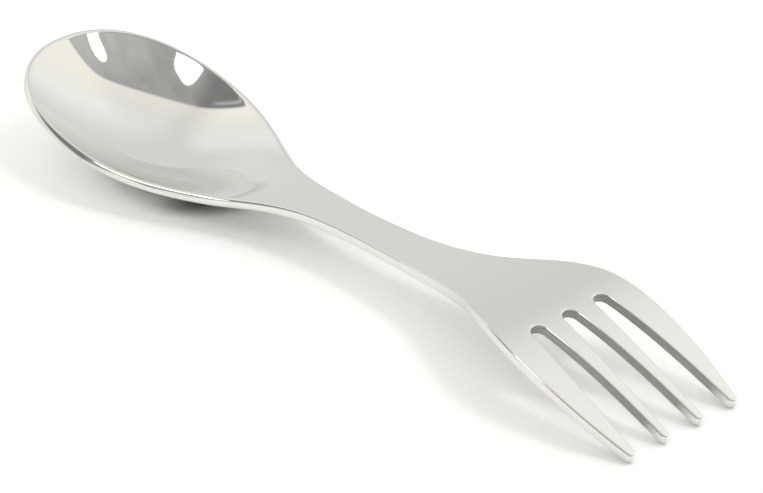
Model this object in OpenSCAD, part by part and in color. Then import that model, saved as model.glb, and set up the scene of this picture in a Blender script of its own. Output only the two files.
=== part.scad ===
// One-piece steel spork: a spoon bowl at the -X end and four curved tines at the +X end.
// It lies on the table Z = 0, on the belly of the bowl and on the tines' tips, mirrored about
// Y = 0. A station is a distance from the bowl's tip along X, taken on the upper face, and the
// ring of points at a station stands square to the sheet, so the regions meet face to face.

/* [Overall] */
// Length from the tip of the bowl's upper edge to the tines' tips
overall_length = 170; // [160:1:190]
// Thickness of the sheet in the shank and the fork
sheet = 2; // [1.5:0.1:2.6]
// Radius that takes the sharpness off every edge
edge_radius = 0.5; // [0.3:0.05:0.7]

/* [Bowl] */
// Width of the bowl across its upper edge
bowl_width = 40; // [36:0.5:46]
// Depth of the bowl below its rim
bowl_depth = 8; // [6:0.25:10]
// Thickness of the drawn wall of the bowl
bowl_wall = 1.8; // [1.4:0.1:2.4]
// Distance from the bowl's tip to its widest place
bowl_wide_at = 26; // [22:0.5:30]
// Roundness of the bowl's nose, where 2 is an ellipse and more is fuller
bowl_nose_power = 2.25; // [2:0.05:2.6]
// Distance from the bowl's tip to the low point of the neck
neck_at = 55; // [50:0.5:60]
// Rise of the rim from the neck to the bowl's tip
rim_rise = 10; // [7:0.25:12]
// Length past the neck's low point over which the bowl flattens into the shank
neck_run = 15; // [12:0.5:18]

/* [Shank] */
// Width of the shank at its waist
shank_width = 9; // [7:0.25:12]
// Distance from the bowl's tip to the waist
waist_at = 86; // [82:0.5:90]
// Length of the straight, flat stretch about the waist
flat_length = 16; // [10:0.5:20]
// Rise of the upper face from the neck's low point to the waist
shank_rise = 2.2; // [1:0.1:4]
// Slope of the flat stretch, as rise over run
shank_slope = 0.02; // [0:0.005:0.05]

/* [Fork] */
// Greatest width of the fork
fork_width = 33.6; // [31:0.2:38]
// Distance back from the tines' tips to the fork's widest place
fork_wide_back = 22; // [18:0.5:25]
// Height of the upper face above the table at the crest of the arch
crest_height = 14.2; // [11:0.2:17]
// Distance back from the tines' tips to the crest of the arch
crest_back = 36; // [33:0.5:40]
// Length of the arched plate behind the slots
head_length = 26; // [20:1:30]

/* [Tines] */
// Length of the tines from the slots' roots to the tips
tine_length = 30; // [26:0.5:32]
// Width of each tine at its tip
tine_tip_width = 1.8; // [1.4:0.1:2.4]
// Distance between the centre lines of neighbouring tines at the tips
tine_pitch = 8.8; // [8.2:0.1:9.4]
// Distance between the centre lines of neighbouring slots at their roots
root_pitch = 8.1; // [7.4:0.1:8.6]
// Radius of each slot's round root
slot_root_radius = 1.7; // [1.3:0.1:2]
// Downward slope of the tines at their tips, as drop over run
tine_slope = 0.455; // [0.35:0.01:0.55]

/* [Hidden] */
steel_colour = [0.82, 0.83, 0.81];

// Half widths
bowl_half = bowl_width / 2;
waist_half = shank_width / 2;
fork_half = fork_width / 2;
tip_half = tine_tip_width / 2;
fork_tip_half = 1.5 * tine_pitch + tip_half;

// Stations where one region ends and the next begins, and those of the fork's main places
bowl_end = neck_at + neck_run;
root_at = overall_length - tine_length;
head_start = root_at - head_length;
crest_at = overall_length - crest_back;
fork_wide_at = overall_length - fork_wide_back;
flat_start = waist_at - flat_length / 2;
flat_end = waist_at + flat_length / 2;

// How far each curve keeps the direction of the place it leaves (lead) or reaches (trail),
// as shares of the distance between the two places
bowl_lead_share = 0.39;
waist_trail_share = 0.52;
waist_lead_share = 0.67;
fork_trail_share = 0.37;
rim_lead_share = 0.33;
neck_trail_share = 0.30;
neck_lead_share = 0.25;
flat_trail_share = 0.37;
straight_share = 1 / 3;
flat_lead_share = 0.62;
crest_trail_share = 0.32;
crest_lead_share = 0.20;
tip_trail_share = 0.31;

// Slopes of the rim at the bowl's tip, and of a slot's side past its root and at its mouth
rim_tip_slope = -0.30;
slot_side_slope = 0.10;
slot_mouth_slope = 0.03;

// Counts of points, and of the halvings that find a place on a curve
across_steps = 14;
belly_steps = 40;
nose_steps = 15;
back_steps = 20;
shank_steps = 6;
head_steps = 13;
root_steps = 4;
side_steps = 13;
tip_steps = 4;
halvings = 24;

// Share of its full radius that a slot's edge has where the slot begins, share of a tine's tip
// left flat, the most of a half width that an edge radius takes, and the step of a slope
start_radius_share = 0.1;
tip_flat_share = 0.4;
most_radius_share = 0.9;
slope_step = edge_radius / 20;

// Cubic curve through a and d that heads for b and arrives from c
function cubic(a, b, c, d, t) =
    pow(1 - t, 3) * a + 3 * pow(1 - t, 2) * t * b + 3 * (1 - t) * t * t * c + pow(t, 3) * d;

// Rate of change of that curve
function cubic_rate(a, b, c, d, t) =
    3 * (pow(1 - t, 2) * (b - a) + 2 * (1 - t) * t * (c - b) + t * t * (d - c));

// The t at which a curve with these lead and trail shares has gone the share s of its run
function reach(s, lead, trail, low, high, left) =
    left == 0 ? (low + high) / 2
    : let (mid = (low + high) / 2)
        cubic(0, lead, 1 - trail, 1, mid) < s
        ? reach(s, lead, trail, mid, high, left - 1)
        : reach(s, lead, trail, low, mid, left - 1);

// Index of the knot that a station lies behind
function leg(knots, x, i = 0) =
    i >= len(knots) - 2 || x < knots[i + 1][0] ? i : leg(knots, x, i + 1);

// Value and slope at a station of a curve through knots, each with its station, value, slope,
// lead share and trail share
function along(knots, x) =
    let (
        i = leg(knots, x),
        a = knots[i],
        b = knots[i + 1],
        run = b[0] - a[0],
        t = reach((x - a[0]) / run, a[3], b[4], 0, 1, halvings),
        leaving = a[1] + a[2] * a[3] * run,
        arriving = b[1] - b[2] * b[4] * run
    )
    [
        cubic(a[1], leaving, arriving, b[1], t),
        cubic_rate(a[1], leaving, arriving, b[1], t)
        / (run * cubic_rate(0, a[3], 1 - b[4], 1, t))
    ];

// Smooth step from 0 at one station to 1 at another
function ramp(x, from, to) =
    let (s = max(0, min(1, (x - from) / (to - from))))
    s * s * (3 - 2 * s);

// Half width of the outline behind the bowl's widest place, as far as the fork's
width_knots = [
    [bowl_wide_at, bowl_half, 0, bowl_lead_share, 0],
    [waist_at, waist_half, 0, waist_lead_share, waist_trail_share],
    [fork_wide_at, fork_half, 0, 0, fork_trail_share]
];

function half_width(x) =
    x < bowl_wide_at
    ? bowl_half * pow(1 - pow(1 - x / bowl_wide_at, bowl_nose_power), 1 / bowl_nose_power)
    : x < fork_wide_at
    ? along(width_knots, x)[0]
    : fork_half - (fork_half - fork_tip_half) * pow((x - fork_wide_at) / fork_wide_back, 2);

// Height of the rim over the neck's low point
rim_knots = [
    [0, rim_rise, rim_tip_slope, rim_lead_share, 0],
    [neck_at, 0, 0, 0, neck_trail_share]
];

// Depth of the upper face under the rim: along the middle, and at a distance y from it
function middle_depth(x) =
    bowl_depth * (1 - ramp(x, neck_at - neck_run, bowl_end))
    * (x < bowl_wide_at ? 1 - pow(1 - x / bowl_wide_at, 2) : pow(half_width(x) / bowl_half, 2));

function hollow(x, y) = middle_depth(x) * (1 - pow(y / half_width(x), 2));

function wall(x) = bowl_wall + (sheet - bowl_wall) * ramp(x, bowl_wide_at, bowl_end);

// Slope along X of the bowl's depth, found over one small step
function depth_slope(x, y) = (hollow(x + slope_step, y) - hollow(x - slope_step, y)) / (2 * slope_step);

// The neck is as high as lets the bowl's belly touch the table
neck_height = -min([
    for (i = [1:belly_steps])
        let (
            x = bowl_wide_at + (neck_at - bowl_wide_at) * i / belly_steps,
            rim = along(rim_knots, x),
            slope = rim[1] - depth_slope(x, 0)
        )
        rim[0] - hollow(x, 0) - wall(x) / sqrt(1 + slope * slope)
]);
waist_height = neck_height + shank_rise;
flat_rise = shank_slope * flat_length / 2;
tip_height = sheet / sqrt(1 + tine_slope * tine_slope);

// Height of the upper face above the table, along the edges of the outline
height_knots = [
    [0, neck_height + rim_rise, rim_tip_slope, rim_lead_share, 0],
    [neck_at, neck_height, 0, neck_lead_share, neck_trail_share],
    [flat_start, waist_height - flat_rise, shank_slope, straight_share, flat_trail_share],
    [flat_end, waist_height + flat_rise, shank_slope, flat_lead_share, straight_share],
    [crest_at, crest_height, 0, crest_lead_share, crest_trail_share],
    [overall_length, tip_height, -tine_slope, 0, tip_trail_share]
];

function upper(x, y) = along(height_knots, x)[0] - (x < bowl_end ? hollow(x, y) : 0);

// Slopes of the upper face along X and along Y
function slopes(x, y) =
    x < bowl_end
    ? [
        along(height_knots, x)[1] - depth_slope(x, y),
        (hollow(x, y - slope_step) - hollow(x, y + slope_step)) / (2 * slope_step)
    ]
    : [along(height_knots, x)[1], 0];

// Direction through the sheet, from the upper face to the lower one
function inward(x, y) =
    let (s = slopes(x, y), v = [s[0], s[1], -1])
    v / norm(v);

// Direction out of the edge along the sheet, for an edge that faces [a, b] in plan
function outward(x, y, facing) =
    let (s = slopes(x, y), v = [facing[0], facing[1], s * facing])
    v / norm(v);

function on_top(x, y) = [x, y, upper(x, y)];

// Points of a rounded edge, from the upper face's last point to the lower face's
function edge(x, y, facing, radius, depth) =
    let (
        top = on_top(x, y),
        down = inward(x, y),
        out = outward(x, y, facing)
    )
    [
        for (turn = [0:45:90])
            top + radius * (down + sin(turn) * out - cos(turn) * down),
        for (turn = [0:45:90])
            top + (depth - radius) * down + radius * (cos(turn) * out + sin(turn) * down)
    ];

function reversed(list) = [for (i = [len(list) - 1:-1:0]) list[i]];
function without_ends(list) = [for (i = [1:len(list) - 2]) list[i]];

// One closed ring round the sheet: the upper face from the left edge to the right one, the
// right edge, the lower face and the left edge
function ring(x, left, right, left_facing, right_facing, left_radius, right_radius, steps) =
    let (
        depth = wall(x),
        places = [for (i = [0:steps]) left + (right - left) * i / steps]
    )
    concat(
        [for (y = places) on_top(x, y)],
        without_ends(edge(x, right, right_facing, right_radius, depth)),
        [for (y = reversed(places)) on_top(x, y) + depth * inward(x, y)],
        without_ends(reversed(edge(x, left, left_facing, left_radius, depth)))
    );

// Triangles between two rings of point numbers, leaving out those that have shrunk to a line
function strip(a, b) = [
    for (i = [0:len(a) - 1])
        let (j = (i + 1) % len(a))
        for (face = [[a[i], b[j], b[i]], [a[i], a[j], b[j]]])
            if (face[0] != face[1] && face[1] != face[2] && face[2] != face[0]) face
];

function numbers(count, first) = [for (i = [0:count - 1]) first + i];

// Triangles that close a ring, laid to and fro between its upper and its lower face
function closing(a) =
    let (last = len(a) - 1)
    [
        for (i = [0:len(a) / 2 - 2])
            let (next = last - i - 1)
            for (face = [[a[i], a[i + 1], a[next]], [a[i], a[next], a[last - i]]]) face
    ];

// A solid from a row of rings, closed by its first and last ring
module lofted(rings) {
    count = len(rings[0]);
    polyhedron(
        points = [for (r = rings) each r],
        faces = [
            for (k = [0:len(rings) - 2])
                each strip(numbers(count, k * count), numbers(count, (k + 1) * count)),
            each closing(reversed(numbers(count, 0))),
            each closing(numbers(count, (len(rings) - 1) * count))
        ],
        convexity = 4
    );
}

// Which way the outline faces in plan on the +Y side, turned square to X by the neck
function facing(x) =
    let (
        nose = 1 - x / bowl_wide_at,
        side = half_width(x) / bowl_half,
        v = x < bowl_wide_at
            ? [-pow(nose, bowl_nose_power - 1) / bowl_wide_at, pow(side, bowl_nose_power - 1) / bowl_half]
            : [-along(width_knots, x)[1] * (1 - ramp(x, neck_at, bowl_end)), 1]
    )
    v / norm(v);

// A ring of the bowl, whose edges start one radius inside the outline
function bowl_ring(x) =
    let (
        f = facing(x),
        inset_x = x - edge_radius * f[0],
        inset_y = half_width(x) - edge_radius * f[1]
    )
    ring(inset_x, -inset_y, inset_y, [f[0], -f[1]], f, edge_radius, edge_radius, across_steps);

nose_shares = [for (i = [1:nose_steps]) 1 - pow(cos(90 * i / nose_steps), 2 / bowl_nose_power)];
bowl_stations = concat(
    [for (s = nose_shares) bowl_wide_at * s],
    [for (i = [1:back_steps]) bowl_wide_at + (bowl_end - bowl_wide_at) * i / back_steps]
);

// The edge at the very tip of the bowl, which its first ring closes on
tip_edge = edge(edge_radius, 0, [-1, 0], edge_radius, wall(0));
nose_reach = -min([for (p = tip_edge) p[0]]);

// Stations of a tine past the slots' roots: round the root, along the side, round the tip
slot_round = atan(slot_side_slope);
round_end = slot_root_radius * (1 - sin(slot_round));
tine_shares = [for (i = [0:side_steps]) i / side_steps];
tine_runs = concat(
    [for (i = [0:root_steps - 1]) round_end * (1 - cos(90 * i / root_steps))],
    [for (s = tine_shares) round_end + (tine_length - tip_half - round_end) * s],
    [for (i = [1:tip_steps]) tine_length - tip_half * (1 - sin(90 * i / tip_steps))]
);

// Half width of a slot at a distance past its root
slot_knots = [
    [round_end, slot_root_radius * cos(slot_round), slot_side_slope, straight_share, 0],
    [tine_length, (tine_pitch - tine_tip_width) / 2, slot_mouth_slope, 0, straight_share]
];

function half_slot(run) =
    run < round_end
    ? sqrt(pow(slot_root_radius, 2) - pow(slot_root_radius - run, 2))
    : along(slot_knots, run)[0];

// Centre line of a slot, counted -1, 0, 1 from -Y to +Y
function slot_middle(slot, run) =
    slot * (root_pitch + (tine_pitch - root_pitch) * run / tine_length);

// Sides of a tine, counted 1 to 4 from -Y to +Y, before its tip is rounded
function tine_left(tine, run) =
    tine == 1 ? -half_width(root_at + run) : slot_middle(tine - 3, run) + half_slot(run);
function tine_right(tine, run) =
    tine == 4 ? half_width(root_at + run) : slot_middle(tine - 2, run) - half_slot(run);

function tine_ring(tine, run) =
    let (
        left = tine_left(tine, run),
        right = tine_right(tine, run),
        half = (right - left) / 2,
        to_tip = min(tip_half, tine_length - run),
        rounding = max(tip_flat_share, sqrt(1 - pow(1 - to_tip / tip_half, 2))),
        middle = (left + right) / 2,
        side = half * rounding,
        full_radius = min(edge_radius, most_radius_share * side),
        slot_radius = max(start_radius_share * edge_radius, min(full_radius, half_slot(run))),
        left_radius = tine == 1 ? full_radius : slot_radius,
        right_radius = tine == 4 ? full_radius : slot_radius
    )
    ring(
        root_at + run, middle - side + left_radius, middle + side - right_radius,
        [0, -1], [0, 1], left_radius, right_radius, 1
    );

// A ring of the shank or the fork head, which are flat across
function plate_ring(x) =
    let (inset = half_width(x) - edge_radius)
    ring(x, -inset, inset, [0, -1], [0, 1], edge_radius, edge_radius, 1);

// Stations of a stretch, in equal steps
function stretch(from, to, steps) = [for (i = [0:steps]) from + (to - from) * i / steps];

// Puts the part's middle over the origin
module centred() {
    translate([(nose_reach - overall_length) / 2, 0, 0]) children();
}

// The drawn bowl with its neck
module spoon_bowl() {
    rings = [for (x = bowl_stations) bowl_ring(x)];
    count = len(rings[0]);
    last = len(tip_edge) - 1;
    tip_numbers = concat(
        [for (i = [0:across_steps]) 0],
        [for (i = [1:last - 1]) i],
        [for (i = [0:across_steps]) last],
        [for (i = [last - 1:-1:1]) i]
    );
    first = len(tip_edge);
    color(steel_colour) centred() polyhedron(
        points = concat(tip_edge, [for (r = rings) each r]),
        faces = [
            each strip(tip_numbers, numbers(count, first)),
            for (k = [0:len(rings) - 2])
                each strip(numbers(count, first + k * count), numbers(count, first + (k + 1) * count)),
            each closing(numbers(count, first + (len(rings) - 1) * count))
        ],
        convexity = 4
    );
}

// The narrow middle, with its straight, flat stretch
module shank() {
    stations = concat(
        stretch(bowl_end, flat_start, shank_steps),
        without_ends(stretch(flat_start, flat_end, shank_steps)),
        stretch(flat_end, head_start, shank_steps * 2)
    );
    color(steel_colour) centred() lofted([for (x = stations) plate_ring(x)]);
}

// The arched plate that the tines grow out of
module fork_head() {
    color(steel_colour) centred()
        lofted([for (x = stretch(head_start, root_at, head_steps)) plate_ring(x)]);
}

// One tine
module tine(number) {
    color(steel_colour) centred() lofted([for (run = tine_runs) tine_ring(number, run)]);
}

module tine_1() { tine(1); }
module tine_2() { tine(2); }
module tine_3() { tine(3); }
module tine_4() { tine(4); }

spoon_bowl();
shank();
fork_head();
tine_1();
tine_2();
tine_3();
tine_4();
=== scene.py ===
import math

import bmesh
import bpy
import numpy as np
from mathutils import Matrix, Vector


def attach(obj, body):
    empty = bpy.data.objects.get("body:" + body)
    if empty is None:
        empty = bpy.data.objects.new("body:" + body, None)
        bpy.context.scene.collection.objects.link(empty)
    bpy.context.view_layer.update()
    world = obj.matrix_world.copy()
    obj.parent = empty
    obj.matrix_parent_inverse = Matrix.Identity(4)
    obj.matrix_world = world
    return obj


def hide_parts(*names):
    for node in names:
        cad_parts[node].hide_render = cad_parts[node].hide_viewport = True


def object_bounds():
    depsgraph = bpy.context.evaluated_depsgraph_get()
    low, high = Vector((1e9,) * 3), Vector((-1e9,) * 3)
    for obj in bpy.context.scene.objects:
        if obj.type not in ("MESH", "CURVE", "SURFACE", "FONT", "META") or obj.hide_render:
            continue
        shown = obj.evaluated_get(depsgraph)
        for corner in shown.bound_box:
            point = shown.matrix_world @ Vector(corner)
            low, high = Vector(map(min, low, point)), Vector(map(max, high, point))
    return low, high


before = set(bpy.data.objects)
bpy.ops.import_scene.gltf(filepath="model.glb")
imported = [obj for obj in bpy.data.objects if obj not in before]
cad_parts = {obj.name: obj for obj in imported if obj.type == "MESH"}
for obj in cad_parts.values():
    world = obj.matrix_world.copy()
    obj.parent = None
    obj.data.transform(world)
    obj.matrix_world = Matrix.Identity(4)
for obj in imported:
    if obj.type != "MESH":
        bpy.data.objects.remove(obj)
cad_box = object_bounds()
MM = 0.001


# The steel blank. The spork is cut from one flat sheet of stainless steel: the oval of the
# bowl, the narrow shank and the fork with its three slots are one outline, whose edges are
# tumbled round. This section lays out that flat, closed blank, which the press then bends.

LENGTH = 170 * MM
SHEET = 2 * MM
EDGE_RADIUS = 0.8 * MM
NOSE_EDGE = 0.5 * MM
HANDLE_EDGE = 0.4 * MM
SLOT_EDGE = 0.3 * MM
EDGE_PLACES = [0, 12 * MM, 28 * MM, 38 * MM, 60 * MM, 78 * MM]
EDGE_SIZES = [EDGE_RADIUS, NOSE_EDGE, NOSE_EDGE, EDGE_RADIUS, EDGE_RADIUS, HANDLE_EDGE]
BOWL_HALF = 19.88 * MM
BOWL_WIDE_AT = 26 * MM
NOSE_POWER = 2.25
WAIST_AT = 86 * MM
WAIST_HALF = 4.5 * MM
FORK_WIDE_AT = 148 * MM
FORK_HALF = 16.8 * MM
TINES = 4
TINE_LENGTH = 30 * MM
TIP_HALF = 0.9 * MM
TINE_PITCH = 8.8 * MM
OUTER_TINE = (TINES - 1) / 2 * TINE_PITCH
ROOT_PITCH = 8.1 * MM
ROOT_RADIUS = 1.7 * MM
ROOT_AT = LENGTH - TINE_LENGTH
SIDE_SLOPE = 0.10
MOUTH_SLOPE = 0.03
STRAIGHT_SHARE = 1 / 3
CUT_FROM = 0.8

NOSE_ROWS = 64
BODY_ROWS = 216
ARC_ROWS = 10
SIDE_ROWS = 56
TIP_ROWS = 8
TINE_COLUMNS = 17
EDGE_TURNS = 6
SHOULDER = 0.12 * MM
SHOULDER_SHARE = 0.2
RIM_BUNCH = 0.3
BUNCHED_TO = 70 * MM
HALVINGS = 50
TINY = 1e-9


def along(knots, x):
    """Value and slope at x of a curve through knots of place, value, slope, lead and trail.

    Lead and trail are the shares of the legs after and before a knot that keep its slope.
    """
    knots = np.asarray(knots, float)
    x = np.atleast_1d(np.asarray(x, float))
    i = np.clip(np.searchsorted(knots[:, 0], x, side="right") - 1, 0, len(knots) - 2)
    a, b = knots[i], knots[i + 1]
    run = b[:, 0] - a[:, 0]
    share = np.clip((x - a[:, 0]) / run, 0, 1)
    lead, trail = a[:, 3], b[:, 4]
    low, high = np.zeros_like(share), np.ones_like(share)
    for _ in range(HALVINGS):
        t = (low + high) / 2
        short = 3 * (1 - t) ** 2 * t * lead + 3 * (1 - t) * t * t * (1 - trail) + t ** 3 < share
        low = np.where(short, t, low)
        high = np.where(short, high, t)
    leaving = a[:, 1] + a[:, 2] * lead * run
    arriving = b[:, 1] - b[:, 2] * trail * run
    value = ((1 - t) ** 3 * a[:, 1] + 3 * (1 - t) ** 2 * t * leaving
             + 3 * (1 - t) * t * t * arriving + t ** 3 * b[:, 1])
    rise = 3 * ((1 - t) ** 2 * (leaving - a[:, 1]) + 2 * (1 - t) * t * (arriving - leaving)
                + t * t * (b[:, 1] - arriving))
    going = 3 * ((1 - t) ** 2 * lead + 2 * (1 - t) * t * (1 - trail - lead) + t * t * trail) * run
    return value, rise / going


SIDE_KNOTS = [
    [BOWL_WIDE_AT, BOWL_HALF, 0, 0.39, 0],
    [WAIST_AT, WAIST_HALF, 0, 0.67, 0.52],
    [FORK_WIDE_AT, FORK_HALF, 0, 0, 0.37],
]


def half_width(x):
    """Half the width of the outline at a station, and how fast it grows."""
    x = np.atleast_1d(np.asarray(x, float))
    share = np.clip(1 - x / BOWL_WIDE_AT, 0, 1)
    inner = np.clip(1 - share ** NOSE_POWER, TINY, 1)
    nose = BOWL_HALF * inner ** (1 / NOSE_POWER)
    nose_rate = BOWL_HALF / BOWL_WIDE_AT * share ** (NOSE_POWER - 1) * inner ** (1 / NOSE_POWER - 1)
    side, side_rate = along(SIDE_KNOTS, x)
    past = (x - FORK_WIDE_AT) / (LENGTH - FORK_WIDE_AT)
    narrowing = FORK_HALF - OUTER_TINE - TIP_HALF
    tine = FORK_HALF - narrowing * past ** 2
    tine_rate = -2 * narrowing * past / (LENGTH - FORK_WIDE_AT)
    width = np.where(x < BOWL_WIDE_AT, nose, np.where(x < FORK_WIDE_AT, side, tine))
    rate = np.where(x < BOWL_WIDE_AT, nose_rate, np.where(x < FORK_WIDE_AT, side_rate, tine_rate))
    return width, rate


SLOT_TURN = math.atan(SIDE_SLOPE)
ROUND_END = ROOT_RADIUS * (1 - math.sin(SLOT_TURN))
SLOT_KNOTS = [
    [ROUND_END, ROOT_RADIUS * math.cos(SLOT_TURN), SIDE_SLOPE, STRAIGHT_SHARE, 0],
    [TINE_LENGTH, TINE_PITCH / 2 - TIP_HALF, MOUTH_SLOPE, 0, STRAIGHT_SHARE],
]


def unit(x, y):
    """Unit vectors along x, y."""
    size = np.hypot(x, y)
    return np.stack([x / size, y / size], axis=-1)


def outline_station(inset_station):
    """Station of the outline's point that lies square off an inset point at a station."""
    rate = half_width(inset_station)[1]
    return inset_station - EDGE_RADIUS * rate / np.hypot(1, rate)


def body_side():
    """Outline and outward directions on the +Y side, from the bowl's tip to the slots' roots."""
    turn = np.linspace(0, math.pi / 2, NOSE_ROWS, endpoint=False)
    nose_x = BOWL_WIDE_AT * (1 - np.cos(turn) ** (2 / NOSE_POWER))
    nose_y = BOWL_HALF * np.sin(turn) ** (2 / NOSE_POWER)
    nose_out = unit(
        -((1 - nose_x / BOWL_WIDE_AT) ** (NOSE_POWER - 1)) / BOWL_WIDE_AT,
        (nose_y / BOWL_HALF) ** (NOSE_POWER - 1) / BOWL_HALF,
    )
    x = np.linspace(BOWL_WIDE_AT, outline_station(ROOT_AT - EDGE_RADIUS)[0], BODY_ROWS)
    y, rate = half_width(x)
    places = np.concatenate([np.stack([nose_x, nose_y], -1), np.stack([x, y], -1)])
    return places, np.concatenate([nose_out, unit(-rate, np.ones_like(rate))])


def tine_runs():
    """Distances past the slots' roots of a tine's rows, before its rounded tip."""
    return np.linspace(ROUND_END, TINE_LENGTH - TIP_HALF, SIDE_ROWS)


def slot_side(slot, side):
    """Outline of one side of a slot, counted -1, 0, 1, from its root to the tine's tip."""
    turn = np.linspace(0, math.pi / 2 - SLOT_TURN, ARC_ROWS, endpoint=False)
    arc_run = ROOT_RADIUS * (1 - np.cos(turn))
    run = tine_runs()
    half, rate = along(SLOT_KNOTS, run)
    lean = slot * (TINE_PITCH - ROOT_PITCH) / TINE_LENGTH
    runs = np.concatenate([arc_run, run])
    middle = slot * ROOT_PITCH + lean * runs
    halves = np.concatenate([ROOT_RADIUS * np.sin(turn), half])
    places = np.stack([ROOT_AT + runs, middle + side * halves], -1)
    arc_out = np.stack([np.cos(turn), -side * np.sin(turn)], -1)
    side_out = unit(rate + side * lean, -side * np.ones_like(rate))
    return places, np.concatenate([arc_out, side_out])


def outer_side(side, inset_stations):
    """Outline of the fork's outer edge, beside a slot's rows."""
    x = outline_station(inset_stations)
    y, rate = half_width(x)
    return np.stack([x, side * y], -1), unit(-rate, side * np.ones_like(rate))


def rounded_tip(left, right):
    """Carries a tine's two sides on round its tip, to where they meet."""
    turn = np.linspace(0, math.pi / 2, TIP_ROWS + 1)[1:]
    middle = (left[0][-1] + right[0][-1]) / 2
    sides = []
    for places, outs in (left, right):
        half = places[-1] - middle
        way = np.sign(half[1])
        tip = middle + np.cos(turn)[:, None] * half
        tip[:, 0] += TIP_HALF * np.sin(turn)
        out = np.stack([np.sin(turn), way * np.cos(turn)], -1)
        sides.append((np.concatenate([places, tip]), np.concatenate([outs, out])))
    return sides


def across(left, right, columns):
    """Points from left to right, with a close-set pair of points beside each edge."""
    width = np.linalg.norm(right - left)
    shoulder = min(SHOULDER / max(width, TINY), SHOULDER_SHARE)
    shares = np.concatenate([[0], np.linspace(shoulder, 1 - shoulder, columns - 1), [1]])
    return left + shares[:, None] * (right - left)


class Blank:
    """Collects the blank's points and faces. A point lies at a station, an offset and a depth."""

    def __init__(self):
        self.points = []
        self.cut = []
        self.faces = []

    def add(self, plan, depth, cut=0.0):
        self.points.append((plan[0], plan[1], -depth))
        self.cut.append(cut)
        return len(self.points) - 1

    def face(self, *corners):
        """A face through the corners, of which neighbours may be the same point."""
        ring = [c for i, c in enumerate(corners) if c != corners[i - 1]]
        if len(ring) > 2:
            self.faces.append(ring)

    def rows(self, rows):
        """Faces between rows that have the same number of points."""
        for a, b in zip(rows, rows[1:]):
            for i in range(len(a) - 1):
                self.face(a[i], a[i + 1], b[i + 1], b[i])


blank = Blank()
body_places, body_outs = body_side()
body_inset = body_places - EDGE_RADIUS * body_outs
root_half = body_inset[-1][1]
root_marks = [-root_half, -ROOT_PITCH, 0, ROOT_PITCH, root_half]
root_row = [np.array([body_inset[-1][0], y]) for y in root_marks]
root_points = [across(a, b, TINE_COLUMNS) for a, b in zip(root_row, root_row[1:])]
shares = np.concatenate([root_points[0]] + [p[1:] for p in root_points[1:]])[:, 1] / root_half

tine_sides = []
for tine in range(TINES):
    slot = tine - TINES // 2
    left = slot_side(slot, 1) if tine > 0 else None
    right = slot_side(slot + 1, -1) if tine < TINES - 1 else None
    places, outs = left or right
    stations = places[:, 0] - EDGE_RADIUS * outs[:, 0]
    tine_sides.append(rounded_tip(left or outer_side(-1, stations), right or outer_side(1, stations)))


def body_shares(station):
    """Shares across the body, from -1 to 1: closer beside the bowl's rim, and at the slots' roots
    those of the tines."""
    bunch = RIM_BUNCH * max(1 - station / BUNCHED_TO, 0)
    even = np.linspace(-1, 1, len(shares))
    even = even * (1 + bunch * (1 - even ** 2))
    near = np.clip((station - WAIST_AT) / (ROOT_AT - EDGE_RADIUS - WAIST_AT), 0, 1)
    return even + near * near * (3 - 2 * near) * (shares - even)


layers = []
for depth in (0, SHEET):
    body = []
    for place in body_inset:
        if len(body) == 0:
            body.append([blank.add(place, depth)] * len(shares))
        else:
            body.append([blank.add((place[0], share * place[1]), depth) for share in body_shares(place[0])])
    tines = []
    for tine, (left, right) in enumerate(tine_sides):
        first = tine * TINE_COLUMNS
        rows = [body[-1][first:first + TINE_COLUMNS + 1]]
        left_inset = left[0] - EDGE_RADIUS * left[1]
        right_inset = right[0] - EDGE_RADIUS * right[1]
        for a, b in zip(left_inset[1:-1], right_inset[1:-1]):
            rows.append([blank.add(p, depth) for p in across(a, b, TINE_COLUMNS)])
        rows.append([blank.add((left_inset[-1] + right_inset[-1]) / 2, depth)] * (TINE_COLUMNS + 1))
        tines.append(rows)
    for rows in [body] + tines:
        blank.rows(rows)
    layers.append((body, tines))


def rim(body, tines):
    """The closed loop of points along the edge of one face of the blank."""
    loop = [body[0][0]] + [row[-1] for row in body[1:]]
    for rows in reversed(tines):
        loop += [row[-1] for row in rows[1:]]
        loop += [row[0] for row in reversed(rows[:-1])]
    return loop + [row[0] for row in reversed(body[1:-1])]


def rim_outs():
    """The outward direction at each point of that loop."""
    mirrored = body_outs * [1, -1]
    outs = list(body_outs)
    for left, right in reversed(tine_sides):
        outs += list(right[1][1:])
        outs += list(left[1][::-1][1:])
    outs[-1] = mirrored[-1]
    return outs + list(mirrored[::-1][1:-1])


def rim_cuts():
    """1 at each point of that loop that lies in a slot, where the edge is left as cut."""
    sides = len(tine_sides[0][0][0]) - 1
    fade = np.clip(np.arange(sides)[::-1] / TIP_ROWS - 1, 0, 1)
    cuts = [0.0] * len(body_places)
    for tine in reversed(range(TINES)):
        cuts += list(fade * (tine < TINES - 1))
        cuts += list(np.append(fade[-2::-1], 1) * (tine > 0))
    return cuts + [0.0] * (len(body_places) - 2)


def edge_radius(station, in_slot):
    """Radius of the rounded edge: widest at the bowl's tip and sides, smallest in the slots."""
    radius = np.interp(station, EDGE_PLACES, EDGE_SIZES)
    return radius + in_slot * (SLOT_EDGE - radius)


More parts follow.
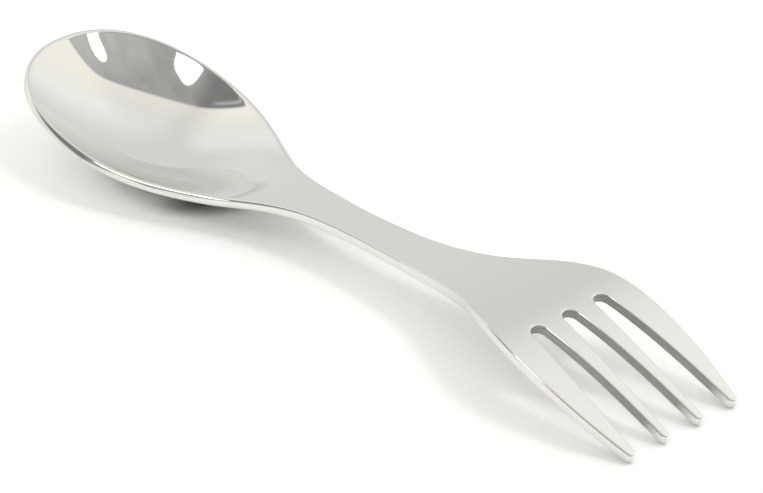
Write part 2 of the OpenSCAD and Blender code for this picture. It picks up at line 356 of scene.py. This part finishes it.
turns = np.linspace(0, math.pi / 2, EDGE_TURNS + 1)[1:]
profile = [(a, 1) for a in turns] + [(a, -1) for a in reversed(turns)]
upper_rim, lower_rim = rim(*layers[0]), rim(*layers[1])
outs = rim_outs()
edge_loops = [upper_rim]
for turn, face in profile:
    loop = []
    for point, way, in_slot in zip(upper_rim, outs, rim_cuts()):
        place = np.array(blank.points[point][:2])
        radius = edge_radius(place[0], in_slot)
        out = EDGE_RADIUS - radius * (1 - math.sin(turn))
        sunk = radius * (1 - math.cos(turn))
        depth = sunk if face > 0 else SHEET - sunk
        # The slots' wall rings are marked for their rough cut finish and for painted shade.
        loop.append(blank.add(place + out * way, depth, in_slot * (math.sin(turn) > CUT_FROM)))
    edge_loops.append(loop)
edge_loops.append(lower_rim)
for a, b in zip(edge_loops, edge_loops[1:]):
    for i in range(len(a)):
        blank.face(a[i - 1], a[i], b[i], b[i - 1])


# The pressed spork. One stroke of the press curves the steel blank's middle line and draws the
# bowl: a Geometry Nodes tree moves each point of the blank to its place in the pressed sheet.
# The faces are polished, satin towards the fork. The slots' walls stay as they were cut and rougher, and
# are painted dark as painted shade for the shaded gaps between the tines that they mirror.

NECK_AT = 55 * MM
NECK_HEIGHT = 7.41 * MM
RIM_RISE = 10 * MM
RIM_TIP_SLOPE = -0.30
SHANK_RISE = 2.2 * MM
WAIST_HEIGHT = NECK_HEIGHT + SHANK_RISE
FLAT_HALF = 8 * MM
FLAT_SLOPE = 0.02
FLAT_RISE = FLAT_SLOPE * FLAT_HALF
CREST_AT = 134 * MM
CREST_HEIGHT = 14.2 * MM
TINE_SLOPE = 0.455
TIP_HEIGHT = SHEET / math.hypot(1, TINE_SLOPE)

FIRST_STATION = 0.02 * MM
BOWL_DEPTH = 8.034 * MM
BOWL_WALL = 1.8 * MM
BOWL_END = 70 * MM
DEEPEST_AT = 27.5 * MM
FRONT_SLOPE = 1.98
FRONT_BEND = -0.22
DEEPEST_BEND = -2.19
BACK_BEND = -5.24
LIP_FROM = 28 * MM
LIP_TO = 42 * MM
LIP_FLAT = 0.3
LIP_REACH = 0.12

LINE_KNOTS = [
    [0, NECK_HEIGHT + RIM_RISE, RIM_TIP_SLOPE, 0.33, 0],
    [NECK_AT, NECK_HEIGHT, 0, 0.25, 0.30],
    [WAIST_AT - FLAT_HALF, WAIST_HEIGHT - FLAT_RISE, FLAT_SLOPE, STRAIGHT_SHARE, 0.37],
    [WAIST_AT + FLAT_HALF, WAIST_HEIGHT + FLAT_RISE, FLAT_SLOPE, 0.62, STRAIGHT_SHARE],
    [CREST_AT, CREST_HEIGHT, 0, 0.20, 0.32],
    [LENGTH, TIP_HEIGHT, -TINE_SLOPE, 0, 0.31],
]


class Maths:
    """A socket of a node tree that Python's operators work on."""

    def __init__(self, tree, socket):
        self.tree = tree
        self.socket = socket

    def node(self, kind, inputs=(), output=0, **settings):
        """A new node of a kind, its settings made first, then its sockets set or linked."""
        node = self.tree.nodes.new(kind)
        for name, value in settings.items():
            setattr(node, name, value)
        for key, value in dict(inputs).items():
            if isinstance(value, Maths):
                self.tree.links.new(value.socket, node.inputs[key])
            else:
                node.inputs[key].default_value = value
        return Maths(self.tree, node.outputs[output])

    def maths(self, operation, *values):
        return self.node("ShaderNodeMath", enumerate(values), operation=operation)

    def rise(self, low, high, start=0.0, end=1.0):
        """A smooth change from start, where this is below low, to end, where it is above high."""
        return self.node("ShaderNodeMapRange", {
            "Value": self, "From Min": low, "From Max": high, "To Min": start, "To Max": end},
            interpolation_type="SMOOTHSTEP")

    def __add__(self, other):
        return self.maths("ADD", self, other)

    def __sub__(self, other):
        return self.maths("SUBTRACT", self, other)

    def __rsub__(self, other):
        return self.maths("SUBTRACT", other, self)

    def __mul__(self, other):
        return self.maths("MULTIPLY", self, other)

    def __truediv__(self, other):
        return self.maths("DIVIDE", self, other)

    def __rtruediv__(self, other):
        return self.maths("DIVIDE", other, self)

    def __pow__(self, other):
        return self.maths("POWER", self, other)

    __radd__ = __add__
    __rmul__ = __mul__


def press_tree():
    """Builds the tree that presses the blank."""
    tree = bpy.data.node_groups.new("press", "GeometryNodeTree")
    ports = tree.interface
    ports.new_socket("Blank", in_out="INPUT", socket_type="NodeSocketGeometry")
    for name in ("Bowl depth", "Deepest at", "Bowl end", "Bowl wall", "Lip from", "Lip to", "Lip flat",
                 "Lip reach", "Sheet", "Tip at"):
        ports.new_socket(name, in_out="INPUT", socket_type="NodeSocketFloat")
    ports.new_socket("Steel", in_out="INPUT", socket_type="NodeSocketMaterial")
    ports.new_socket("Sheet metal", in_out="OUTPUT", socket_type="NodeSocketGeometry")
    start = tree.nodes.new("NodeGroupInput")
    size = {port.name: Maths(tree, port) for port in start.outputs if port.name}
    make = size["Blank"].node
    flat = make("GeometryNodeInputPosition")

    def parts(vector):
        split = make("ShaderNodeSeparateXYZ", {0: vector}).socket.node
        return [Maths(tree, port) for port in split.outputs]

    def noted(name):
        return parts(make("GeometryNodeInputNamedAttribute", {"Name": name}, data_type="FLOAT_VECTOR"))

    station, offset, level = parts(flat)
    line, line_slope, _ = noted("line")
    half, half_rate, _ = noted("half")

    # The bowl's depth along its middle: one leg down to the deepest place, one leg back up
    first = station.maths("MINIMUM", station / size["Deepest at"], 1)
    back_run = size["Bowl end"] - size["Deepest at"]
    second = make("ShaderNodeClamp", {0: (station - size["Deepest at"]) / back_run})

    def leg(share, rise, start_slope, start_bend, end_bend):
        """A curve of the fifth degree, which ends level, and its rate."""
        third = 10 * rise - 6 * start_slope - 1.5 * start_bend + 0.5 * end_bend
        fourth = -15 * rise + 8 * start_slope + 1.5 * start_bend - end_bend
        fifth = 6 * rise - 3 * start_slope - 0.5 * start_bend + 0.5 * end_bend
        value = share * (start_slope + share * (start_bend / 2 + share * (
            third + share * (fourth + share * fifth))))
        rate = start_slope + share * (start_bend + share * (
            3 * third + share * (4 * fourth + share * (5 * fifth))))
        return value, rate

    falling, falling_rate = leg(first, 1, FRONT_SLOPE, FRONT_BEND, DEEPEST_BEND)
    rising, rising_rate = leg(second, -1, 0, BACK_BEND, 0)
    is_front = station.maths("LESS_THAN", station, size["Deepest at"])
    middle = size["Bowl depth"] * (falling + rising)
    middle_rate = size["Bowl depth"] * (
        is_front * falling_rate / size["Deepest at"] + (1 - is_front) * rising_rate / back_run)

    # Across the bowl the depth follows a parabola, which flattens into a lip beside the rim
    share_out = (offset / half).maths("MINIMUM", (offset / half) * (offset / half), 1)
    inside = 1 - share_out
    lip = station.rise(size["Lip from"], size["Lip to"], 0.0, size["Lip flat"])
    near_rim = inside / size["Lip reach"]
    lip = lip * near_rim.maths("EXPONENT", 0 - near_rim)
    steepness = 1 - lip * (1 - near_rim)
    depth = middle * inside * (1 - lip)
    slope_x = line_slope - middle_rate * inside * (1 - lip)
    slope_x = slope_x - 2 * middle * steepness * share_out * half_rate / half
    slope_y = 2 * middle * steepness * offset / (half * half)
    thickness = station.rise(size["Deepest at"], size["Bowl end"], size["Bowl wall"] / size["Sheet"])
    through = (0 - level) * thickness / (slope_x * slope_x + slope_y * slope_y + 1) ** 0.5
    place = make("ShaderNodeCombineXYZ", {
        0: size["Tip at"] + station + through * slope_x,
        1: offset + through * slope_y,
        2: line - depth - through})

    pressed = make("GeometryNodeSetPosition", {"Geometry": size["Blank"], "Position": place})
    smooth = make("GeometryNodeSetShadeSmooth", {0: pressed})
    whole = make("GeometryNodeRealizeInstances", {0: smooth})
    coated = make("GeometryNodeSetMaterial", {"Geometry": whole, "Material": size["Steel"]})
    end = tree.nodes.new("NodeGroupOutput")
    tree.links.new(coated.socket, end.inputs[0])
    return tree


SATIN_FROM = -30 * MM
SATIN_TO = 0 * MM
# PALE_STEEL and GREY_STEEL are one steel painted lighter and darker: a painted sheen for the room each part
# mirrors
PALE_STEEL = (0.835, 0.835, 0.80, 1)
GREY_STEEL = (0.765, 0.765, 0.732, 1)
# SLOT_SHADE_STEEL colours the slots' walls with painted shade, for the shaded gaps between the tines, over
# their rougher cut finish.
SLOT_SHADE_STEEL = (0.25, 0.25, 0.24, 1)
SLOT_SHADE_COVER = 0.8
MIRROR_ROUGHNESS = 0.035
SATIN_ROUGHNESS = 0.075
HAZE_ROUGHNESS = 0.03
LINE_ROUGHNESS = 0.03
CUT_ROUGHNESS = 0.22
HAZE_SCALE = 60
LINE_SCALE = 9000
DENT_SCALE = 110
DENT_HEIGHT = 0.9
LINE_HEIGHT = 0.004
RELIEF = 0.006 * MM


def steel_material():
    """Polished stainless steel: a mirror in the bowl, a softer shine on the shank and fork, and a painted
    sheen that makes its colour paler or greyer along its length.
    """
    material = bpy.data.materials.new("polished_steel")
    material.use_nodes = True
    tree = material.node_tree
    shader = tree.nodes["Principled BSDF"]
    place = Maths(tree, tree.nodes.new("ShaderNodeTexCoord").outputs["Object"])
    make = place.node

    def grain(stretch, scale, detail):
        spread = make("ShaderNodeMapping", {"Vector": place, "Scale": stretch})
        return make("ShaderNodeTexNoise", {"Vector": spread, "Scale": scale, "Detail": detail})

    along_x = make("ShaderNodeSeparateXYZ", {0: place})
    satin = along_x.rise(SATIN_FROM, SATIN_TO)
    cut = make("ShaderNodeAttribute", output="Fac", attribute_name="cut")
    haze = grain((1, 1, 1), HAZE_SCALE, 3)
    lines = grain((0.06, 1, 1), LINE_SCALE, 2)
    dents = grain((0.6, 1, 1), DENT_SCALE, 1)

    # Painted sheen, for how brightly each part mirrors the room: half pale in the bowl, three quarters on
    # the shank, grey on the crest, pale on the tines
    painted_sheen = 0.5 + 0.25 * along_x.rise(-30 * MM, -5 * MM) - 0.75 * along_x.rise(20 * MM, 45 * MM)
    painted_sheen = painted_sheen + 0.9 * along_x.rise(50 * MM, 66 * MM)
    face = make("ShaderNodeMix", {"Factor": painted_sheen, 6: GREY_STEEL, 7: PALE_STEEL}, output=2, data_type="RGBA")
    # The slots' walls get painted shade for the shaded gaps between the tines; their cut finish only adds
    # roughness.
    colour = make("ShaderNodeMix", {"Factor": cut * SLOT_SHADE_COVER, 6: face, 7: SLOT_SHADE_STEEL},
                  output=2, data_type="RGBA")
    rough = MIRROR_ROUGHNESS + SATIN_ROUGHNESS * satin + HAZE_ROUGHNESS * haze.rise(0.35, 0.7)
    rough = rough + LINE_ROUGHNESS * satin * lines.rise(0.5, 0.8) + CUT_ROUGHNESS * cut
    height = dents * DENT_HEIGHT + satin * lines * LINE_HEIGHT
    bump = make("ShaderNodeBump", {"Height": height, "Strength": 1.0, "Distance": RELIEF})
    shader.inputs["Metallic"].default_value = 1
    tree.links.new(colour.socket, shader.inputs["Base Color"])
    tree.links.new(rough.socket, shader.inputs["Roughness"])
    tree.links.new(bump.socket, shader.inputs["Normal"])
    return material


mesh = bpy.data.meshes.new("blank")
mesh.from_pydata(blank.points, [], blank.faces)
stations = np.clip(np.array(blank.points)[:, 0], FIRST_STATION, LENGTH)
for name, (value, rate) in (("line", along(LINE_KNOTS, stations)), ("half", half_width(stations))):
    notes = mesh.attributes.new(name, "FLOAT_VECTOR", "POINT")
    notes.data.foreach_set("vector", np.stack([value, rate, 0 * rate], -1).ravel())
cut = mesh.attributes.new("cut", "FLOAT", "POINT")
cut.data.foreach_set("value", blank.cut)
flat_blank = bpy.data.objects.new("flat_blank", mesh)
bpy.context.scene.collection.objects.link(flat_blank)
modifier = flat_blank.modifiers.new("press", "NODES")
steel = steel_material()
modifier.node_group = press_tree()
inputs = {
    "Bowl depth": BOWL_DEPTH, "Deepest at": DEEPEST_AT, "Bowl end": BOWL_END,
    "Bowl wall": BOWL_WALL, "Lip from": LIP_FROM, "Lip to": LIP_TO, "Lip flat": LIP_FLAT,
    "Lip reach": LIP_REACH, "Sheet": SHEET, "Tip at": cad_box[1][0] - LENGTH,
    "Steel": steel,
}
for port in modifier.node_group.interface.items_tree:
    if port.name in inputs:
        modifier[port.identifier] = inputs[port.name]
pressed = flat_blank.evaluated_get(bpy.context.evaluated_depsgraph_get())
spork_mesh = bpy.data.meshes.new_from_object(pressed)
bpy.data.objects.remove(flat_blank)
for name in ("line", "half"):
    spork_mesh.attributes.remove(spork_mesh.attributes[name])
build = bmesh.new()
build.from_mesh(spork_mesh)
bmesh.ops.recalc_face_normals(build, faces=build.faces)
build.to_mesh(spork_mesh)
build.free()
spork = bpy.data.objects.new("stamped_spork", spork_mesh)
bpy.context.scene.collection.objects.link(spork)
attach(spork, "root")
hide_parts("spoon_bowl", "shank", "fork_head", "tine_1", "tine_2", "tine_3", "tine_4")


# The table. The spork lies on a plain board, painted matt white. The camera and the steel's
# mirror see the paint a little brighter than it is, and it keeps the shadow under the spork.

TABLE_SIZE = 4
TABLE_WHITE = (0.93, 0.93, 0.93, 1)
TABLE_ROUGHNESS = 0.8
TABLE_SEEN = 1.28
TABLE_MIRRORED = 0.8
SHADOW = (0.02, 0.018, 0.015, 1)
CLOSE_SHADOW = 0.45
CLOSE_REACH = 3.5 * MM
BELLY_SHADOW = 0.96
BELLY_REACH = 4.5 * MM
WIDE_SHADOW = 0.2
WIDE_REACH = 25 * MM
FORK_SHADOW = 0.16
FORK_REACH = 15 * MM

table_mesh = bpy.data.meshes.new("table")
build = bmesh.new()
bmesh.ops.create_grid(build, x_segments=1, y_segments=1, size=TABLE_SIZE)
build.to_mesh(table_mesh)
build.free()
table = bpy.data.objects.new("table", table_mesh)
bpy.context.scene.collection.objects.link(table)
white = bpy.data.materials.new("white_table")
white.use_nodes = True
paint = white.node_tree.nodes["Principled BSDF"]
paint.inputs["Base Color"].default_value = TABLE_WHITE
paint.inputs["Roughness"].default_value = TABLE_ROUGHNESS
paint.inputs["Specular IOR Level"].default_value = 0
rays = white.node_tree.nodes.new("ShaderNodeLightPath")
seen = Maths(white.node_tree, rays.outputs["Is Camera Ray"])
mirrored = Maths(white.node_tree, rays.outputs["Is Glossy Ray"])
bright = seen.node("ShaderNodeBsdfDiffuse", {"Color": (TABLE_SEEN, TABLE_SEEN, TABLE_SEEN, 1)})
lit = seen.node("ShaderNodeMixShader", {
    "Fac": seen + mirrored * TABLE_MIRRORED, 1: Maths(white.node_tree, paint.outputs[0]), 2: bright})
beside = seen.node("ShaderNodeSeparateXYZ", {0: seen.node("ShaderNodeTexCoord", output=3)})


def covered(reach):
    """The share of a place on the table that the spork covers within a reach."""
    return 1 - seen.node("ShaderNodeAmbientOcclusion", {"Distance": reach}, output=1, samples=8)


# The closest shadow is darkest under the bowl's belly, and a faint one reaches further out
belly = beside.rise(-47 * MM, -37 * MM) * (1 - beside.rise(-10 * MM, 20 * MM))
fork = beside.rise(25 * MM, 55 * MM)
close = CLOSE_SHADOW * covered(CLOSE_REACH) * (1 - belly) * (1 - 0.75 * fork)
close = close + BELLY_SHADOW * covered(BELLY_REACH).rise(0.1, 0.78) * belly
wide = WIDE_SHADOW * covered(WIDE_REACH) * beside.rise(-45 * MM, -15 * MM) * (1 - fork)
wide = wide + FORK_SHADOW * covered(FORK_REACH) * fork
shadow = seen.node("ShaderNodeBsdfDiffuse", {"Color": SHADOW})
surface = seen.node("ShaderNodeMixShader", {"Fac": (1 - close) * (1 - wide), 1: shadow, 2: lit})
white.node_tree.links.new(surface.socket, white.node_tree.nodes["Material Output"].inputs[0])
table_mesh.materials.append(white)


# The room. The steel is a mirror, so the room gives it its tones: a pale cloth tent all round,
# the darker room past the tent's edge, and two bright windows. The camera sees plain white in
# its place.

TENT = 0.79
TENT_WAY = (134.3, 33.3)
TENT_EDGE = 0.6125
HORIZON_DROP = 0.24
CEILING_DROP = 0.12
TIP_GLOW = 0.18
TIP_GLOW_WAY = (-177, 46)
ROOM_END_WAY = (-59.8, 19.5)
ROOM_SILL = 0.435
SILL_DROP = 0.22
ROOM_DARK = 0.25
STRIPE = 0.3
WINDOW = 3.0
WARM = (1, 0.98, 0.91, 1)

world = bpy.data.worlds.new("studio")
bpy.context.scene.world = world
world.use_nodes = True
tree = world.node_tree
way = Maths(tree, tree.nodes.new("ShaderNodeTexCoord").outputs["Generated"])


def towards(azimuth, elevation):
    """Unit vector at an azimuth from +X and an elevation, in degrees."""
    a, e = math.radians(azimuth), math.radians(elevation)
    return (math.cos(a) * math.cos(e), math.sin(a) * math.cos(e), math.sin(e))


def facing(direction):
    """How far the sky's direction points along a given one."""
    return way.node("ShaderNodeVectorMath", {0: way, 1: direction}, output=1, operation="DOT_PRODUCT")


def window(azimuth, elevation, turn, wide, high, soft, squareness):
    """A bright window in the sky: its centre, its turn and its half sizes as slopes."""
    out = Vector(towards(azimuth, elevation))
    side = Vector((-out.y, out.x, 0)).normalized()
    side = Matrix.Rotation(math.radians(turn), 3, out) @ side
    depth = facing(out).maths("MAXIMUM", facing(out), 0.05)
    across_it = facing(side) / depth / wide
    along_it = facing(out.cross(side)) / depth / high
    reach = (across_it * across_it) ** squareness + (along_it * along_it) ** squareness
    return 1 - reach.rise(1 - soft, 1 + soft)


x_way = facing((1, 0, 0))
z_way = facing((0, 0, 1))
past_tent = facing(towards(*TENT_WAY)) - TENT_EDGE

# The tent is brighter towards the fork and round the bowl's tip, and darker at the table's level
sky = TENT + 0.25 * x_way.rise(-0.45, 0.05) + 0.14 * x_way.rise(-0.75, -0.95)
sky = sky + TIP_GLOW * facing(towards(*TIP_GLOW_WAY)).rise(0.9, 1.0)
sky = sky - CEILING_DROP * z_way.rise(0.75, 0.95) * x_way.rise(-0.25, 0)
sky = sky + (0.05 + 0.08 * x_way.rise(-0.35, -0.55)) * (1 - past_tent.rise(0, 0.15))
sky = sky - HORIZON_DROP * (1 - z_way.rise(0.04, 0.16))

# The room past the tent's edge is dark above a sill, with blotches and one paler stripe
sill = ROOM_SILL - SILL_DROP * x_way.rise(-0.12, 0.08)
under = way.maths("SMOOTH_MIN", 0 - past_tent, facing(towards(*ROOM_END_WAY)), 0.10)
room = under.rise(-0.012, 0.008) * (z_way - sill).rise(-0.035, 0.035)
dark = ROOM_DARK + 0.15 * x_way.rise(-0.4, -0.24) + 0.04 * x_way.rise(-0.2, 0) + 0.13 * x_way.rise(0, 0.4)
stripe = past_tent.rise(-0.055, -0.035) * (1 - past_tent.rise(-0.028, -0.016))
dark = dark + STRIPE * stripe * (1 - x_way.rise(-0.5, -0.4))
blotches = way.node("ShaderNodeTexNoise", {"Vector": way, "Scale": 6, "Detail": 3})
dark = dark * (0.72 + 0.5 * blotches)
sky = sky + room * (dark - sky)

sky = sky + WINDOW * window(
    azimuth=-108.6, elevation=59, turn=8, wide=0.114, high=0.27, soft=0.15, squareness=2)
sky = sky + WINDOW * window(
    azimuth=42.1, elevation=60.8, turn=7, wide=0.05, high=0.062, soft=0.2, squareness=1)
camera_ray = Maths(tree, tree.nodes.new("ShaderNodeLightPath").outputs["Is Camera Ray"])
sky = sky + camera_ray * (1 - sky)
tree.links.new(sky.socket, tree.nodes["Background"].inputs["Strength"])
warm = (1 - room) * (1 - past_tent.rise(0, 0.3)) * (1 - camera_ray)
tint = way.node("ShaderNodeMix", {"Factor": warm, 6: (1, 1, 1, 1), 7: WARM}, output=2, data_type="RGBA")
tree.links.new(tint.socket, tree.nodes["Background"].inputs["Color"])


# The lamp. One soft round lamp beyond the spork, 1 m from the bowl, throws the shadow to the near
# side. The steel doesn't mirror it: the smaller of the two windows stands for it there.

LAMP_SIZE = 0.28
LAMP_POWER = 1.15
LAMP_WAY = (42.4, 61.7)
LAMP_AIM = Vector((-75, 18, 8)) * MM

lamp = bpy.data.lights.new("side_lamp", "AREA")
lamp.shape = "DISK"
lamp.size = LAMP_SIZE
lamp.energy = LAMP_POWER
stand = bpy.data.objects.new("side_lamp", lamp)
bpy.context.scene.collection.objects.link(stand)
lamp_way = Vector(towards(*LAMP_WAY))
stand.location = LAMP_AIM + lamp_way
stand.visible_glossy = False
stand.rotation_euler = lamp_way.to_track_quat("Z", "Y").to_euler()


# The camera. A long lens looks down over the fork towards the bowl, at the photograph's angle.
# Light runs along the inside of the bowl's wall in more than the usual four mirror bounces, so
# more are allowed.

AZIMUTH = math.radians(46.5)
ELEVATION = math.radians(29.5)
DISTANCE = 860.7 * MM
TARGET = Vector((0.435, 0, 7)) * MM
LENS = 215.1
SENSOR = 36
AIM_RIGHT = 4.91 * MM
AIM_DOWN = 2.59 * MM
MIRROR_BOUNCES = 10

back = Vector((
    math.sin(AZIMUTH) * math.cos(ELEVATION), -math.cos(AZIMUTH) * math.cos(ELEVATION), math.sin(ELEVATION)))
right = Vector((math.cos(AZIMUTH), math.sin(AZIMUTH), 0))
up = back.cross(right)
eye = TARGET + DISTANCE * back
aim = TARGET + AIM_RIGHT * right - AIM_DOWN * up
camera_data = bpy.data.cameras.new("camera")
camera_data.lens = LENS
camera_data.sensor_width = SENSOR
camera = bpy.data.objects.new("camera", camera_data)
bpy.context.scene.collection.objects.link(camera)
camera.location = eye
camera.rotation_euler = (eye - aim).to_track_quat("Z", "Y").to_euler()
bpy.context.scene.camera = camera
bpy.context.scene.view_settings.view_transform = "Standard"
bpy.context.scene.cycles.glossy_bounces = MIRROR_BOUNCES
